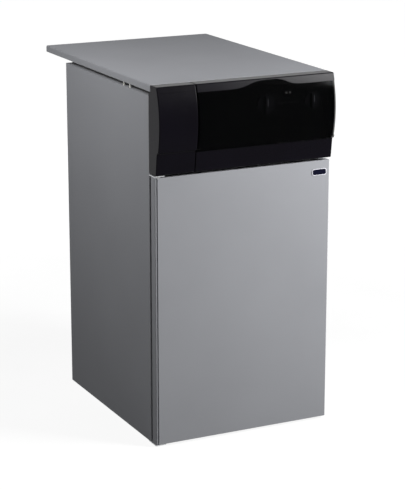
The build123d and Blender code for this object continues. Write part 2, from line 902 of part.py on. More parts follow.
def knob(x, skirt_radius):
    """A turned skirt with a raised grip bar and a blind hole for its shaft."""
    back = fascia_front - skirt_clearance
    skirt = rod((x, back, knob_height), to_front, skirt_radius, skirt_thickness)
    plane = Plane(origin=(x, back - skirt_thickness, knob_height), x_dir=to_right, z_dir=to_front)
    bar = RectangleRounded(grip_width, 2 * skirt_radius - grip_width / 2, grip_round)
    grip = extrude(plane * bar, grip_height)
    return skirt + grip - rod((x, back, knob_height), to_front, shaft_radius, shaft_in_knob)


def shaft(x):
    """The steel shaft that the knob turns in its control."""
    start = (x, fascia_front - skirt_clearance - shaft_in_knob, knob_height)
    length = shaft_in_knob + skirt_clearance + fascia_sheet + shaft_in_switch - overrun
    return rod(start, to_back, shaft_radius, length)


# Control box
def control_box():
    """A steel tray behind the control panel, fixed to the side returns by its ears."""
    outer = block((-box_half_width, box_half_width), (box_front, box_back), (box_foot, box_top))
    inner_x = (-box_half_width + box_sheet, box_half_width - box_sheet)
    inner_z = (box_foot + box_sheet, box_top - box_sheet)
    tray = outer - block(inner_x, (box_front - overrun, box_back - box_sheet), inner_z)
    ear_x = (box_half_width - box_sheet, inner_half_width)
    ear = block(ear_x, (box_front, box_front + box_sheet), (box_foot, box_top))
    return tray + ear + mirrored(ear)


def control_board():
    """The printed board on its spacers, with relays and a transformer."""
    back = box_back - box_sheet
    z = (box_foot + box_top) / 2
    half_x, half_z = board_width / 2, board_height / 2
    board_y = (back - board_gap - board_thickness, back - board_gap)
    board = block((-half_x, half_x), board_y, (z - half_z, z + half_z))
    for side in (-1, 1):
        for level in (-1, 1):
            corner = (side * (half_x - board_spacer_inset), back, z + level * (half_z - board_spacer_inset))
            board = board + rod(corner, to_front, board_spacer_radius, board_gap)
    front = board_y[0]
    width, depth, height = relay_size
    for step in range(relay_count):
        x = -half_x + relay_pitch * (step + 1)
        board = board + block((x - width / 2, x + width / 2), (front - depth, front), (z, z + height))
    width, depth, height = transformer_size
    transformer_x = (half_x - 2 * width, half_x - width)
    return board + block(transformer_x, (front - depth, front), (z - height / 2, z + height / 2))


def terminal_block():
    """A row of screw terminals on the box floor."""
    x = (terminal_x, terminal_x + terminal_width)
    y = (box_front + terminal_setback, box_front + terminal_setback + terminal_depth)
    z = (box_foot + box_sheet, box_foot + box_sheet + terminal_height)
    row = block(x, y, z)
    pitch = terminal_width / terminal_ways
    half = terminal_slot / 2
    slot_y = (y[0] - overrun, y[0] + terminal_slot_depth)
    slot_z = (z[0] + half, z[1] + overrun)
    for way in range(terminal_ways):
        middle = x[0] + pitch * (way + 1 / 2)
        row = row - block((middle - half, middle + half), slot_y, slot_z)
    return row


def cable_gland():
    """The empty gland for the mains lead in the rear panel."""
    start = (gland_x, rear_panel_rear, gland_height)
    gland = hexagon(start, to_back, gland_nut_radius, gland_nut)
    gland = gland + rod(start, to_back, gland_radius, gland_dome)
    gland = gland + rod(start, to_front, gland_radius, casing_sheet + gland_tail)
    inner = (gland_x, rear_panel_front - gland_tail, gland_height)
    return gland - rod(inner, to_back, gland_bore, gland_dome + casing_sheet + gland_tail)


# Heat exchanger
def section_profile(inset):
    """Side view of a cast section, or of its water space at an inset."""
    width = section_depth - 2 * inset
    height = section_height - 2 * inset
    centre = Pos(section_y + section_depth / 2, section_foot + section_height / 2)
    if inset:
        return centre * Rectangle(width, height)
    return centre * RectangleRounded(width, height, section_corner)


def slab(face, x_limits):
    """A side-view outline pushed between two X limits."""
    return extrude(Plane.YZ.offset(x_limits[0]) * face, x_limits[1] - x_limits[0])


def ribs(x, side):
    """Upright ribs on one face of a section, with draught towards their tips."""
    first = section_y + rim_width + rib_side_gap
    last = hub_y - hub_radius - rib_side_gap
    pitch = (last - first) / (rib_count - 1)
    root = x + side * section_body / 2
    tip = x + side * (section_pitch / 2 - rib_tip_gap)
    half_root, half_tip = rib_width / 2, rib_tip_width / 2
    low, high = section_foot + rib_end_gap, section_head - rib_end_gap
    made = []
    for number in range(rib_count):
        y = first + number * pitch
        corners = ((root, y - half_root), (tip, y - half_tip), (tip, y + half_tip), (root, y + half_root))
        outline = Polyline(*corners, close=True)
        made.append(extrude(Plane.XY.offset(low) * make_face(outline), high - low))
    return made


def cast_section(x, finned_sides, outer_side):
    """One hollow casting with its ribs, rims and nipple hubs."""
    half_body, half_pitch = section_body / 2, section_pitch / 2
    limits = [x - half_body, x + half_body]
    if outer_side:
        limits[(outer_side + 1) // 2] = x + outer_side * half_pitch
    body = slab(section_profile(0), limits)
    rim_low, rim_high = section_foot + section_corner, section_head - section_corner
    for y in ((section_y, section_y + rim_width), (section_back - rim_width, section_back)):
        body = body + block((x - half_pitch, x + half_pitch), y, (rim_low, rim_high))
    for z in (low_hub_z, high_hub_z):
        body = body + rod((x - half_pitch, hub_y, z), to_right, hub_radius, section_pitch)
    for side in finned_sides:
        for rib in ribs(x, side):
            body = body + rib
    water = slab(section_profile(section_wall), (limits[0] + section_wall, limits[1] - section_wall))
    body = body - water
    for z in (low_hub_z, high_hub_z):
        for side in finned_sides:
            bore = nipple_radius + seat_clearance
            body = body - rod((x, hub_y, z), (side, 0, 0), bore, section_pitch)
    return body


def end_section(x, side):
    """An end casting with open-ended lugs for the tie rods."""
    body = cast_section(x, (-side,), side)
    face = x + side * section_pitch / 2
    lug_x = sorted((face, face - side * rod_lug_thickness))
    slot_half = rod_radius + seat_clearance
    for y in (section_y - rod_offset, section_back + rod_offset):
        for z in rod_heights():
            outwards = -1 if y < section_y else 1
            tip = y + outwards * 2 * rod_radius
            root = tip - outwards * rod_lug_reach
            body = body + block(lug_x, sorted((root, tip)), (z - rod_lug_width / 2, z + rod_lug_width / 2))
            floor = y - outwards * slot_half
            body = body - block(lug_x, sorted((floor, tip)), (z - slot_half, z + slot_half))
    return body


def rod_heights():
    """Levels of the lower and upper tie rods."""
    return (section_foot + rod_rise, section_head - rod_rise)


def left_end():
    """The left casting, with the flow and return ports at its back."""
    body = end_section(left_section_x, -1)
    bore = pipe_radius + seat_clearance
    for z in (low_hub_z, high_hub_z):
        root = (left_section_x, section_back - section_wall, z)
        mouth = (left_section_x, section_back + port_length, z)
        body = body + rod(root, to_back, port_radius, port_length + section_wall)
        body = body - rod(mouth, to_front, bore, port_length + hub_inset)
    return body


def right_end():
    """The right casting, with the drain port at its foot."""
    body = end_section(-left_section_x, 1)
    start = (-left_section_x, section_y, cock_height())
    return body - rod(start, to_back, cock_bore, section_wall + overrun)


def cock_height():
    """Level of the drain cock."""
    return section_foot + cock_rise


def middle_sections():
    """The castings between the two ends."""
    places = [left_section_x + step * section_pitch for step in range(1, section_count - 1)]
    return [cast_section(x, (-1, 1), 0) for x in places]


def nipples():
    """The tapered nipples that join one section to the next."""
    joints = [left_section_x + section_pitch * (step + 1 / 2) for step in range(section_count - 1)]
    bore = nipple_radius - nipple_wall
    return [
        tube((x - nipple_length / 2, hub_y, z), to_right, nipple_radius, bore, nipple_length)
        for x in joints
        for z in (low_hub_z, high_hub_z)
    ]


def tie_rods():
    """Four rods with a nut at each end that clamp the sections together."""
    made = []
    reach = stack_half + rod_nut_height
    for y in (section_y - rod_offset, section_back + rod_offset):
        for z in rod_heights():
            bar = rod((-reach, y, z), to_right, rod_radius, 2 * reach)
            for side in (-1, 1):
                bar = bar + hexagon((side * stack_half, y, z), (side, 0, 0), rod_nut_radius, rod_nut_height)
            made.append(bar)
    return made


def pipe(z):
    """A threaded stub from a port of the left section through the rear panel."""
    start = section_back + port_length - pipe_in_port
    shoulder = stub_end - thread_length
    body = tube((left_section_x, start, z), to_back, pipe_radius, pipe_bore, shoulder - start)
    return body + tube((left_section_x, shoulder, z), to_back, pipe_thread_radius, pipe_bore, thread_length)


def wool_jacket():
    """Mineral wool along both sides and the back of the casing."""
    front = door_face + wool_front_setback
    z = (wool_foot, section_head)
    outer = block((-inner_half_width, inner_half_width), (front, rear_panel_front), z)
    inner_half = inner_half_width - wool_thickness
    inner_y = (front - overrun, rear_panel_front - wool_thickness)
    jacket = outer - block((-inner_half, inner_half), inner_y, (z[0] - overrun, z[1] + overrun))
    for z in (low_hub_z, high_hub_z):
        hole = (left_section_x, inner_y[1], z)
        jacket = jacket - rod(hole, to_back, pipe_radius + pipe_hole_clearance, wool_thickness)
    return jacket


# Combustion chamber and burner
def combustion_base():
    """The steel box that carries the sections, open below and at the front."""
    y = (burner_front, base_rear)
    half = base_half_width
    outer = block((-half, half), y, (tray_floor, section_foot))
    inner_x = (-half + base_sheet, half - base_sheet)
    inner_y = (y[0] + base_sheet, y[1] - base_sheet)
    outer = outer - block(inner_x, inner_y, (tray_floor - overrun, section_foot - base_sheet))
    top_x = (-half + base_flange, half - base_flange)
    top_y = (y[0] + base_flange, y[1] - base_flange)
    outer = outer - block(top_x, top_y, (section_foot - base_sheet - overrun, section_foot + overrun))
    opening_x = (-burner_opening_half_width, burner_opening_half_width)
    opening_z = (burner_opening_foot, burner_opening_head)
    return outer - block(opening_x, (y[0] - overrun, y[0] + base_sheet + overrun), opening_z)


def bar_places():
    """Middle of each burner bar, under the gap between two sections."""
    return [section_pitch * (step - (bar_count - 1) / 2) for step in range(bar_count)]


def burner_plate():
    """The front plate of the burner, with holes for the bars, the sight glass and the electrodes."""
    x = (-burner_plate_half_width, burner_plate_half_width)
    z = (burner_opening_foot - burner_plate_margin, burner_opening_head + burner_plate_margin)
    plate = block(x, (plate_front, burner_front), z)
    for bar_x in bar_places():
        hole = venturi_mouth - venturi_wall + seat_clearance
        plate = plate - rod((bar_x, plate_front, bar_height_centre), to_back, hole, burner_plate_sheet)
    plate = plate - rod((0, plate_front, sight_height), to_back, sight_glass_radius, burner_plate_sheet)
    for side in (-1, 1):
        start = (side * electrode_x, plate_front, sight_height)
        plate = plate - rod(start, to_back, electrode_radius + seat_clearance, burner_plate_sheet)
    return plate


def burner_bar(x):
    """A slotted burner bar with its venturi through the front plate."""
    length = base_rear - base_sheet - burner_front
    plane = Plane(origin=(x, burner_front, bar_height_centre), x_dir=to_right, z_dir=to_front)
    half_height = bar_height / 2
    right = (
        (bar_top_width / 2, half_height),
        (bar_width / 2, half_height - bar_shoulder),
        (bar_width / 2, 0),
        (bar_foot_width / 2, -half_height),
    )
    left = [(-across, up) for across, up in reversed(right)]
    bar = extrude(plane * make_face(Polyline(*right, *left, close=True)), -length)
    top = bar_height_centre + bar_height / 2
    slot_z = (top - bar_slot_depth, top + overrun)
    pitch = length / (bar_slot_count + 1)
    half_x, half_y = bar_slot_length / 2, bar_slot_width / 2
    for number in range(bar_slot_count):
        y = burner_front + pitch * (number + 1)
        bar = bar - block((x - half_x, x + half_x), (y - half_y, y + half_y), slot_z)
    mouth_y = plate_front - venturi_length
    throat = venturi_mouth - venturi_wall
    mouth = Plane(origin=(x, mouth_y, bar_height_centre), x_dir=to_right, z_dir=to_back)
    neck = mouth.offset(venturi_length)
    horn = loft([mouth * Circle(venturi_mouth), neck * Circle(throat)])
    horn = horn + rod((x, plate_front, bar_height_centre), to_back, throat, burner_plate_sheet)
    hollow = loft([mouth * Circle(venturi_mouth - venturi_wall), neck * Circle(venturi_throat)])
    hollow = hollow + rod((x, plate_front, bar_height_centre), to_back, venturi_throat, bar_width)
    return bar + horn - hollow


def manifold():
    """The gas bar across the front, with two brackets to the burner plate."""
    half = bar_places()[-1] + manifold_overhang
    body = rod((-half, manifold_y, bar_height_centre), to_right, manifold_radius, 2 * half)
    for side in (-1, 1):
        x = sorted((side * half, side * (half - manifold_bracket)))
        half_height = manifold_bracket_height / 2
        z = (bar_height_centre - half_height, bar_height_centre + half_height)
        body = body + block(x, (manifold_y, plate_front), z)
    return body


def injectors():
    """Brass jets on the manifold, one for each bar."""
    made = []
    for x in bar_places():
        seat = manifold_y + manifold_radius
        jet = hexagon((x, seat, bar_height_centre), to_back, injector_radius, injector_length)
        mouth = (x, seat + injector_length, bar_height_centre)
        made.append(jet - rod(mouth, to_front, injector_bore, injector_length / 2))
    return made


def sight_glass_frame():
    """A ring on the burner plate."""
    start = (0, plate_front, sight_height)
    ring = rod(start, to_front, sight_radius, sight_frame)
    return ring - rod(start, to_front, sight_glass_radius, sight_frame)


def sight_glass():
    """The round glass in its ring."""
    radius = sight_glass_radius - seat_clearance
    return rod((0, plate_front, sight_height), to_front, radius, sight_glass_thickness)


def electrode(x):
    """A ceramic rod with a steel tip over the front of the bars."""
    start = plate_front + electrode_reach
    body = rod((x, start, sight_height), to_front, electrode_radius, electrode_length)
    body = body + rod((x, plate_front, sight_height), to_front, electrode_collar_radius, electrode_collar)
    return body + rod((x, start, sight_height), to_back, electrode_tip_radius, electrode_tip_length)


def valve_body():
    """The cast gas valve on its foot."""
    x = (valve_x, valve_x + valve_width)
    y = (door_face + valve_front, door_face + valve_front + valve_depth)
    body = block(x, y, (valve_foot, valve_foot + valve_height))
    body = fillet(body.edges().filter_by(Axis.X), valve_round)
    foot_y = (y[0] + valve_round, y[1] - valve_round)
    foot = block((x[0], x[1]), foot_y, (tray_floor, tray_floor + valve_bracket))
    post = block((x[0], x[0] + valve_bracket), foot_y, (tray_floor, valve_foot + valve_round))
    post = post + block((x[1] - valve_bracket, x[1]), foot_y, (tray_floor, valve_foot + valve_round))
    body = body + foot + post
    return body


def valve_coils():
    """Two solenoid coils on the valve."""
    middle = valve_x + valve_width / 2
    y = door_face + valve_front + coil_radius + valve_round / 2
    top = valve_foot + valve_height
    made = []
    for side in (-1, 1):
        start = (middle + side * coil_pitch / 2, y, top)
        made.append(rod(start, upwards, coil_radius, coil_height))
    return made


def bent_pipe(points, bend, radius):
    """A pipe along straight runs with round bends, solid inside."""
    path = FilletPolyline(*points, radius=bend)
    plane = Plane(origin=path @ 0, z_dir=path % 0)
    return sweep(plane * Circle(radius), path)


def riser():
    """The short elbow from the valve up to the manifold."""
    x = valve_x - riser_offset
    points = (
        (valve_x, manifold_y, gas_pipe_height),
        (x, manifold_y, gas_pipe_height),
        (x, manifold_y, bar_height_centre - manifold_radius),
    )
    path = Polyline(*points)
    plane = Plane(origin=path @ 0, z_dir=path % 0)
    return sweep(plane * Circle(riser_radius), path, transition=Transition.RIGHT)


def gas_pipe():
    """The supply pipe from the rear stub along the right side to the valve."""
    shoulder = (gas_pipe_x, stub_end - thread_length, gas_pipe_height)
    points = (
        shoulder,
        (gas_pipe_x, manifold_y, gas_pipe_height),
        (valve_x + valve_width, manifold_y, gas_pipe_height),
    )
    body = bent_pipe(points, gas_pipe_bend, gas_pipe_radius)
    return body + tube(shoulder, to_back, gas_thread_radius, gas_pipe_bore, thread_length)


def igniter():
    """The ignition box on the tray."""
    width, depth, height = igniter_size
    front = return_back + tray_sheet + igniter_setback
    x = (igniter_x - width / 2, igniter_x + width / 2)
    return block(x, (front, front + depth), (tray_floor, tray_floor + height))


# Drain cock and sensors
def cock_stem_y():
    """Middle of the drain cock's stem."""
    return section_y - cock_length / 2


def drain_body():
    """The brass body with its spout, screwed to the right section."""
    x, z = -left_section_x, cock_height()
    body = hexagon((x, section_y, z), to_front, cock_radius, cock_length)
    spout = rod((x, cock_stem_y(), z), downwards, spout_radius, spout_length)
    body = body + spout
    body = body - rod((x, section_y, z), to_front, cock_bore, cock_length - cock_bore)
    body = body - rod((x, cock_stem_y(), z), downwards, spout_bore, spout_length)
    seat = (x, cock_stem_y(), z + stem_foot())
    return body - rod(seat, upwards, stem_radius + running_clearance, cock_radius)


def stem_foot():
    """How far above the cock's middle the stem starts."""
    return cock_radius - stem_in_body / 2


def drain_lever():
    """The quarter-turn lever with its stem."""
    x, y, z = -left_section_x, cock_stem_y(), cock_height()
    stem = rod((x, y, z + stem_foot() + seat_clearance), upwards, stem_radius, stem_height - stem_foot())
    top = z + stem_height
    half = lever_width / 2
    plane = Plane(origin=(x - lever_length / 2 + half, y, top), x_dir=to_right, z_dir=upwards)
    return stem + extrude(plane * RectangleRounded(lever_length, lever_width, lever_corner), lever_sheet)


def sensor(x):
    """A screwed pocket with its sensor in the left section's front."""
    z = section_head - sensor_drop
    pocket = hexagon((x, section_y, z), to_front, pocket_radius, pocket_length)
    return pocket + rod((x, section_y - pocket_length, z), to_front, sensor_radius, sensor_length)


# Flue way
def collector_face(inset):
    """Side view of the flue hood."""
    low = section_head
    front, back = section_y + inset, section_back - inset
    slope = section_y + collector_slope_share * section_depth
    points = (
        (front, low),
        (front, low + collector_front_height - inset / 2),
        (slope, collector_top - inset),
        (back, collector_top - inset),
        (back, low),
    )
    return make_face(Polyline(*points, close=True))


def flue_collector():
    """The hood over the sections, with a flat duct out at the back."""
    half = collector_half_width
    sheet = collector_sheet
    hood = slab(collector_face(0), (-half, half))
    duct_x = duct_half_width + sheet
    duct = block((-duct_x, duct_x), (section_back - sheet, rear_panel_rear), (duct_foot, duct_head))
    hollow = slab(collector_face(sheet), (-half + sheet, half - sheet))
    under_y = (section_y + sheet, section_back - sheet)
    under = block((-half + sheet, half - sheet), under_y, (section_head - overrun, section_head + overrun))
    way_y = (section_back - 2 * sheet, rear_panel_rear + overrun)
    way = block((-duct_half_width, duct_half_width), way_y, (duct_foot + sheet, duct_head - sheet))
    return hood + duct - hollow - under - way


def diverter():
    """The draught diverter behind the rear panel, open below."""
    half = diverter_half_width
    sheet = diverter_sheet
    outer = block((-half, half), (diverter_front, diverter_rear), (diverter_foot, diverter_head))
    inner_y = (diverter_front + sheet, diverter_rear - sheet)
    hollow = block((-half + sheet, half - sheet), inner_y, (diverter_foot - overrun, diverter_head - sheet))
    inlet_y = (diverter_front - overrun, diverter_front + sheet + overrun)
    inlet = block((-duct_half_width, duct_half_width), inlet_y, (duct_foot + sheet, duct_head - sheet))
    outlet = rod((0, diverter_rear - sheet, spigot_height), to_back, outlet_radius, sheet)
    return outer - hollow - inlet - outlet


def spigot():
    """The round flue socket with its flange."""
    start = (0, diverter_rear, spigot_height)
    bore = spigot_radius - spigot_wall
    socket = tube(start, to_back, spigot_radius, bore, spigot_end - diverter_rear)
    return socket + tube(start, to_back, spigot_radius + spigot_flange, bore, spigot_wall)


os.makedirs("parts", exist_ok=True)

right_side = side_panel()
save("right_side_panel", right_side - gas_pipe_hole())
save("left_side_panel", mirrored(right_side))
save("rear_panel", rear_panel())
save("base_frame", base_frame())
save("glide_pads", *[glide(x, y) for x, y in glide_points()])
save("top_lid", lid())
right_rail = lid_rail()
save("lid_rails", right_rail, mirrored(right_rail))
save("lid_clips", *lid_clips())
save("front_cross_rail", cross_rail())
save("hinge_brackets", *hinge_brackets())
save("door_catch_magnets", *door_magnets())
rear_heads = [screw_head_at(point, to_back) for point in rear_screw_points()]
box_heads = [screw_head_at(point, to_front) for point in box_screw_points()]
save("casing_screws", *rear_heads, *box_heads)

save("front_door", front_door())
save("door_badge", door_badge())
save("door_hinge_bushes", *door_bushes())

save("control_housing", control_housing())
save("filler_panel", filler_panel())
save("flap", flap())
save("flap_hinge_pins", *flap_pins())
save("control_fascia", fascia())
save("indicator_lenses", *lenses())
save("temperature_control", rotary_switch(left_knob_x))
save("selector_switch", rotary_switch(right_knob_x))
save("temperature_knob", knob(left_knob_x, left_skirt_radius))
save("temperature_shaft", shaft(left_knob_x))
save("selector_knob", knob(right_knob_x, right_skirt_radius))
save("selector_shaft", shaft(right_knob_x))

save("control_box", control_box())
save("control_board", control_board())
save("terminal_block", terminal_block())
save("cable_gland", cable_gland())

save("left_end_section", left_end())
save("right_end_section", right_end())
save("middle_sections", *middle_sections())
save("section_nipples", *nipples())
save("tie_rods", *tie_rods())
save("flow_pipe", pipe(high_hub_z))
save("return_pipe", pipe(low_hub_z))
save("insulation_jacket", wool_jacket())

save("combustion_base", combustion_base())
save("burner_front_plate", burner_plate())
save("burner_bars", *[burner_bar(x) for x in bar_places()])
save("gas_manifold", manifold())
save("injectors", *injectors())
save("sight_glass_frame", sight_glass_frame())
save("sight_glass", sight_glass())
save("ignition_electrode", electrode(-electrode_x))
save("flame_sensor", electrode(electrode_x))
save("ignition_module", igniter())
save("gas_valve_body", valve_body())
save("gas_valve_coils", *valve_coils())
save("valve_outlet_pipe", riser())
save("gas_inlet_pipe", gas_pipe())

save("drain_cock_body", drain_body())
save("drain_cock_lever", drain_lever())
save("limit_thermostat", sensor(left_section_x - sensor_pitch / 2))
save("temperature_sensor", sensor(left_section_x + sensor_pitch / 2))

save("flue_collector", flue_collector())
save("draught_diverter", diverter())
save("flue_spigot", spigot())
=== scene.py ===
import json
import math

import bpy
from mathutils import Matrix, Vector


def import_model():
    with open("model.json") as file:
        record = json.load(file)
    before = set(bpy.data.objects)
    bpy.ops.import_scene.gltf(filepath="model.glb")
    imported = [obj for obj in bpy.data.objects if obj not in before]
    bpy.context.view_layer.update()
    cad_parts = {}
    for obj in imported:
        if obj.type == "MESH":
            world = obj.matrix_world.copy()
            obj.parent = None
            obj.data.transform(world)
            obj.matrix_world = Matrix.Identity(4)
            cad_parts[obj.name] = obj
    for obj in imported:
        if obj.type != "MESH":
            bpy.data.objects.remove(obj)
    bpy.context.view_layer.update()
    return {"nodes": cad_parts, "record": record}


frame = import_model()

nodes = frame["nodes"]
slot_of = {part["node"]: part["material_slot"] for part in frame["record"]["subparts"]}


# Node helpers
class Surface:
    """A material with a Principled shader, and short calls for its procedural nodes."""

    def __init__(self, name, **constants):
        self.material = bpy.data.materials.new(name)
        self.material.use_nodes = True
        self.tree = self.material.node_tree
        self.shader = self.tree.nodes["Principled BSDF"]
        for socket, value in constants.items():
            self.shader.inputs[socket.replace("_", " ")].default_value = value
        self.place = self.add("ShaderNodeTexCoord").outputs["Object"]

    def add(self, kind, **settings):
        node = self.tree.nodes.new(kind)
        for name, value in settings.items():
            setattr(node, name, value)
        return node

    def link(self, source, target):
        self.tree.links.new(source, target)

    def stretched(self, scale):
        """Object coordinates stretched per axis."""
        mapping = self.add("ShaderNodeMapping")
        mapping.inputs["Scale"].default_value = scale
        self.link(self.place, mapping.inputs["Vector"])
        return mapping.outputs["Vector"]

    def noise(self, scale, detail=3.0, roughness=0.5, vector=None):
        node = self.add("ShaderNodeTexNoise")
        node.inputs["Scale"].default_value = scale
        node.inputs["Detail"].default_value = detail
        node.inputs["Roughness"].default_value = roughness
        self.link(vector or self.place, node.inputs["Vector"])
        return node.outputs["Fac"]

    def cells(self, scale, vector=None, output="Color"):
        node = self.add("ShaderNodeTexVoronoi")
        node.inputs["Scale"].default_value = scale
        self.link(vector or self.place, node.inputs["Vector"])
        return node.outputs[output]

    def ramp(self, source, *stops):
        """A colour ramp with (position, colour) stops."""
        node = self.add("ShaderNodeValToRGB")
        elements = node.color_ramp.elements
        while len(elements) < len(stops):
            elements.new(1.0)
        for element, (position, colour) in zip(elements, stops):
            element.position = position
            element.color = (*colour, 1.0)
        self.link(source, node.inputs["Fac"])
        return node.outputs["Color"]

    def span(self, source, low, high, from_low=0.0, from_high=1.0):
        """A value mapped from one range to another."""
        node = self.add("ShaderNodeMapRange")
        limits = {"From Min": from_low, "From Max": from_high, "To Min": low, "To Max": high}
        for name, value in limits.items():
            node.inputs[name].default_value = value
        self.link(source, node.inputs["Value"])
        return node.outputs["Result"]

    def maths(self, operation, first, second=None):
        """A sum on sockets or plain values."""
        node = self.add("ShaderNodeMath", operation=operation)
        for socket, value in zip(node.inputs, (first, second)):
            if isinstance(value, bpy.types.NodeSocket):
                self.link(value, socket)
            elif value is not None:
                socket.default_value = value
        return node.outputs["Value"]

    def axes(self):
        """The X, Y and Z outputs of the object coordinates."""
        node = self.add("ShaderNodeSeparateXYZ")
        self.link(self.place, node.inputs["Vector"])
        return node.outputs

    def mix(self, share, first, second):
        """Two colours, sockets or plain values, mixed by a share."""
        node = self.add("ShaderNodeMix", data_type="RGBA")
        self.link(share, node.inputs["Factor"])
        for socket, value in ((node.inputs[6], first), (node.inputs[7], second)):
            if isinstance(value, bpy.types.NodeSocket):
                self.link(value, socket)
            else:
                socket.default_value = (*value, 1.0)
        return node.outputs[2]

    def colour(self, socket):
        self.link(socket, self.shader.inputs["Base Color"])

    def roughness(self, source, low, high):
        self.link(self.span(source, low, high), self.shader.inputs["Roughness"])

    def bump(self, *layers):
        """Bumps as (height socket, depth in metres), one on top of the other."""
        normal = None
        for height, depth in layers:
            node = self.add("ShaderNodeBump")
            node.inputs["Strength"].default_value = 1.0
            node.inputs["Distance"].default_value = depth
            self.link(height, node.inputs["Height"])
            if normal:
                self.link(normal, node.inputs["Normal"])
            normal = node.outputs["Normal"]
        self.link(normal, self.shader.inputs["Normal"])


def own_box(name):
    """A node's box in its own coordinates, the same in every pose."""
    corners = [Vector(corner) for corner in nodes[name].bound_box]
    return [Vector(side(corner[axis] for corner in corners) for axis in range(3)) for side in (min, max)]


def shaded(colour, share):
    """A colour made lighter or darker by a share."""
    return tuple(min(1.0, part * (1.0 + share)) for part in colour)


# Materials
# The first three give the size of the pale stripe painted on each knob grip as a highlight.
GLINT_HALF_WIDTH = 0.0011
GLINT_TOP = 0.013
GLINT_FOOT = 0.003
BADGE_RECESS = 0.0005
WHITE = (1.0, 1.0, 1.0, 1.0)


def casing_paint():
    """Matt silver-grey paint: fine metal flake, faint clouding and a light orange peel."""
    grey = (0.275, 0.28, 0.297)
    made = Surface("casing_paint", Metallic=0.03, Specular_IOR_Level=0.0)
    clouds = made.noise(5.0, detail=4.0)
    flake = made.noise(5200.0, detail=1.0)
    base = made.ramp(clouds, (0.3, shaded(grey, -0.05)), (0.7, shaded(grey, 0.05)))
    speckle = made.ramp(flake, (0.35, shaded(grey, -0.16)), (0.65, shaded(grey, 0.2)))
    made.colour(made.mix(made.span(clouds, 0.35, 0.55), base, speckle))
    made.roughness(clouds, 0.44, 0.52)
    made.bump((made.noise(900.0, detail=2.0), 0.00001), (flake, 0.000004))
    return made


def gap_shade_black_paint():
    """Matt black paint on the lid's rails, so dark that it also paints the shade in the gap under the lid.
    """
    made = Surface("black_metal", Metallic=0.1)
    grain = made.noise(1500.0)
    # painted shade: near-black rails, so that the gap under the lid shows dark
    made.colour(made.ramp(grain, (0.3, (0.008, 0.008, 0.008)), (0.7, (0.02, 0.02, 0.021))))
    made.roughness(grain, 0.55, 0.75)
    made.bump((grain, 0.00002))
    return made


def galvanised(name, tint, metallic=0.85):
    """Zinc-coated sheet with crystalline spangle."""
    made = Surface(name, Metallic=metallic)
    warp = made.noise(60.0, detail=2.0)
    spangle = made.cells(110.0)
    tone = made.span(spangle, 0.25, 0.75)
    crystals = made.mix(tone, shaded(tint, -0.16), shaded(tint, 0.12))
    made.colour(made.mix(made.span(warp, 0.1, 0.4), crystals, tint))
    made.roughness(tone, 0.32, 0.5)
    made.bump((made.noise(700.0), 0.000012))
    return made


def brushed(name, tint, rough=(0.28, 0.45), direction=(1.0, 1.0, 60.0), metallic=0.95):
    """Drawn or rolled metal with fine lines in one direction."""
    made = Surface(name, Metallic=metallic)
    lines = made.noise(40.0, detail=4.0, vector=made.stretched(direction))
    blotch = made.noise(18.0, detail=3.0)
    streaks = made.ramp(lines, (0.3, shaded(tint, -0.14)), (0.7, shaded(tint, 0.1)))
    made.colour(made.mix(made.span(blotch, 0.0, 0.45), streaks, shaded(tint, -0.22)))
    made.roughness(lines, *rough)
    made.bump((lines, 0.00002))
    return made


def cast(name, tint, metallic, rough, depth, scale=420.0):
    """Sand-cast or die-cast skin."""
    made = Surface(name, Metallic=metallic)
    sand = made.noise(scale, detail=5.0, roughness=0.65)
    patch = made.noise(14.0, detail=3.0)
    skin = made.ramp(sand, (0.3, shaded(tint, -0.3)), (0.72, shaded(tint, 0.35)))
    made.colour(made.mix(made.span(patch, 0.0, 0.5), skin, shaded(tint, -0.35)))
    made.roughness(sand, *rough)
    made.bump((sand, depth))
    return made


def moulded(name, tint, rough, grain=2600.0, depth=0.00001, **constants):
    """Moulded plastic with a fine spark-eroded grain and faint flow clouding."""
    made = Surface(name, **constants)
    texture = made.noise(grain, detail=2.0)
    flow = made.noise(11.0, detail=2.0)
    made.colour(made.ramp(flow, (0.3, shaded(tint, -0.12)), (0.7, shaded(tint, 0.14))))
    made.roughness(made.noise(35.0, detail=3.0), *rough)
    made.bump((texture, depth))
    return made


def knob_plastic():
    """Dark knobs with a pale stripe along the grip, a painted highlight in place of the grip's glint."""
    made = Surface("knob_plastic", Roughness=0.25)
    axes = made.axes()
    offsets = []
    for name in ("temperature_knob", "selector_knob"):
        low, high = own_box(name)
        offsets.append(made.maths("ABSOLUTE", made.maths("SUBTRACT", axes["X"], (low.x + high.x) / 2)))
    middle = (low.z + high.z) / 2
    # painted highlight: a pale stripe over each grip, standing in for the glint on it
    glint_stripe = made.maths("LESS_THAN", made.maths("MINIMUM", *offsets), GLINT_HALF_WIDTH)
    glint_stripe = made.maths("MULTIPLY", glint_stripe, made.maths("GREATER_THAN", axes["Z"], middle - GLINT_FOOT))
    glint_stripe = made.maths("MULTIPLY", glint_stripe, made.maths("LESS_THAN", axes["Z"], middle + GLINT_TOP))
    cloud = made.noise(420.0)
    dark = made.ramp(cloud, (0.3, (0.034, 0.034, 0.043)), (0.7, (0.046, 0.046, 0.057)))
    pale = made.ramp(cloud, (0.3, (0.62, 0.63, 0.72)), (0.7, (0.7, 0.71, 0.8)))
    made.colour(made.mix(glint_stripe, dark, pale))
    made.bump((made.noise(2600.0, detail=2.0), 0.000008))
    return made


def lens_plastic():
    """Small clear lenses: pale indicator lamps above and grey markers in the row below."""
    made = Surface("lens_plastic", Roughness=0.2, Coat_Weight=0.3)
    lower, upper = own_box("indicator_lenses")
    above = made.maths("GREATER_THAN", made.axes()["Z"], (lower.z + upper.z) / 2)
    cloud = made.noise(800.0)
    pale = made.ramp(cloud, (0.3, (0.74, 0.76, 0.78)), (0.7, (0.86, 0.88, 0.88)))
    dull = made.ramp(cloud, (0.3, (0.26, 0.26, 0.3)), (0.7, (0.34, 0.34, 0.38)))
    made.colour(made.mix(above, dull, pale))
    return made


